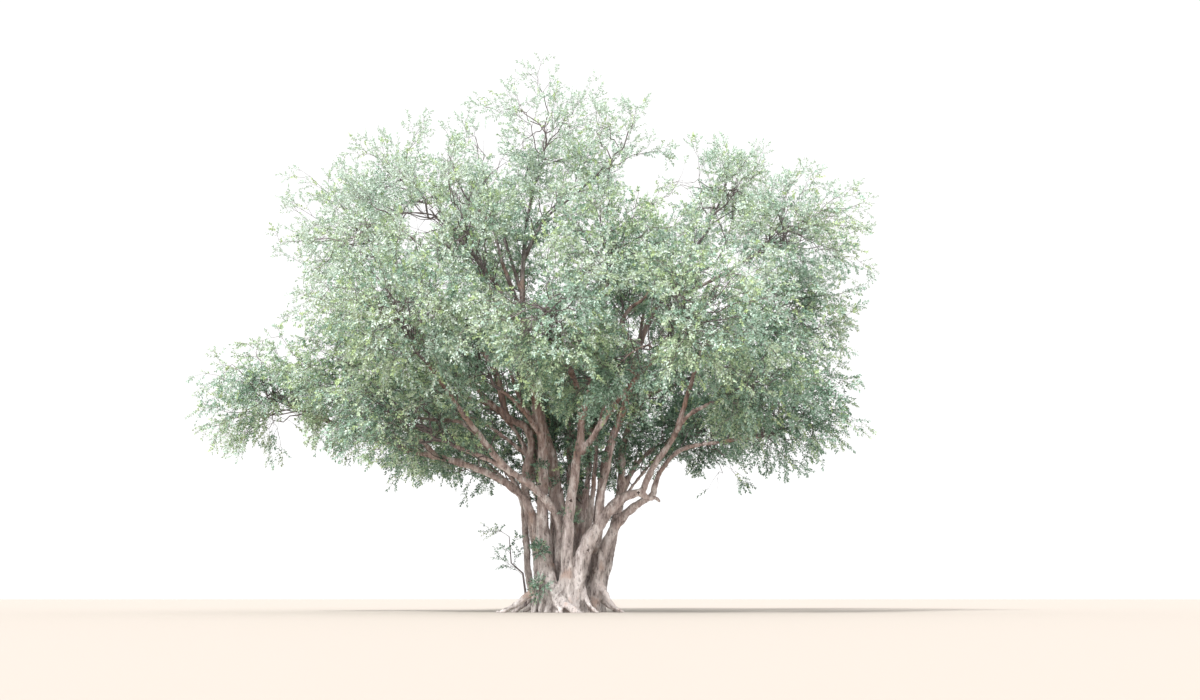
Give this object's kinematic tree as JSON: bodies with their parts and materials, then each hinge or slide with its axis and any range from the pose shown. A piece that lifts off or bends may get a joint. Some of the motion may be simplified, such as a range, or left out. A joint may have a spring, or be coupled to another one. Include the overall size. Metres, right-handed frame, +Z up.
{
  "type": "savanna acacia tree",
  "caption": "Broad-crowned savanna tree: pale stems fanning from one flared foot with exposed roots, carrying a wide dense crown of separate foliage masses, standing on a flat ground cut.",
  "frame": {"origin": "centre of the flat cut at ground level under the trunk", "axes": "+Z up; +X to the right and -Y towards the viewer of the pictured side"},
  "size_m": [17.7442, 15.2843, 14.5155],
  "materials": {
    "bark": "matte",
    "foliage": "matte"
  },
  "bodies": {
    "root": {"bough_back_left": "bark", "bough_back_low_right": "bark", "bough_back_upper_right": "bark", "bough_front_left": "bark", "bough_front_middle": "bark", "bough_front_right": "bark", "bough_front_upper": "bark", "bough_heart": "bark", "bough_leaning_right": "bark", "bough_left_low": "bark", "bough_left_mid": "bark", "bough_left_shoulder": "bark", "bough_right_low": "bark", "bough_right_rising": "bark", "bough_right_upper": "bark", "bough_top_left": "bark", "bough_top_right": "bark", "foliage_back": "foliage", "foliage_back_left": "foliage", "foliage_back_low_left": "foliage", "foliage_back_low_right": "foliage", "foliage_back_right": "foliage", "foliage_back_upper_left": "foliage", "foliage_back_upper_right": "foliage", "foliage_front": "foliage", "foliage_front_left": "foliage", "foliage_front_low_left": "foliage", "foliage_front_low_right": "foliage", "foliage_front_middle": "foliage", "foliage_front_right": "foliage", "foliage_front_upper_left": "foliage", "foliage_front_upper_right": "foliage", "foliage_heart": "foliage", "foliage_left_low": "foliage", "foliage_left_mid": "foliage", "foliage_left_shoulder": "foliage", "foliage_left_tip": "foliage", "foliage_left_upper": "foliage", "foliage_right_low": "foliage", "foliage_right_mid": "foliage", "foliage_right_peak": "foliage", "foliage_right_upper": "foliage", "foliage_top": "foliage", "foliage_top_left": "foliage", "foliage_top_right": "foliage", "limb_great_right": "bark", "limb_outer_right": "bark", "stem_back": "bark", "stem_back_left": "bark", "stem_back_right": "bark", "stem_centre": "bark", "stem_crossing_left": "bark", "stem_elbow_left": "bark", "stem_left": "bark", "stem_low_left": "bark", "stem_outer_left": "bark", "stem_right": "bark", "stem_straight": "bark", "trunk": "bark"}
  },
  "joints": []
}
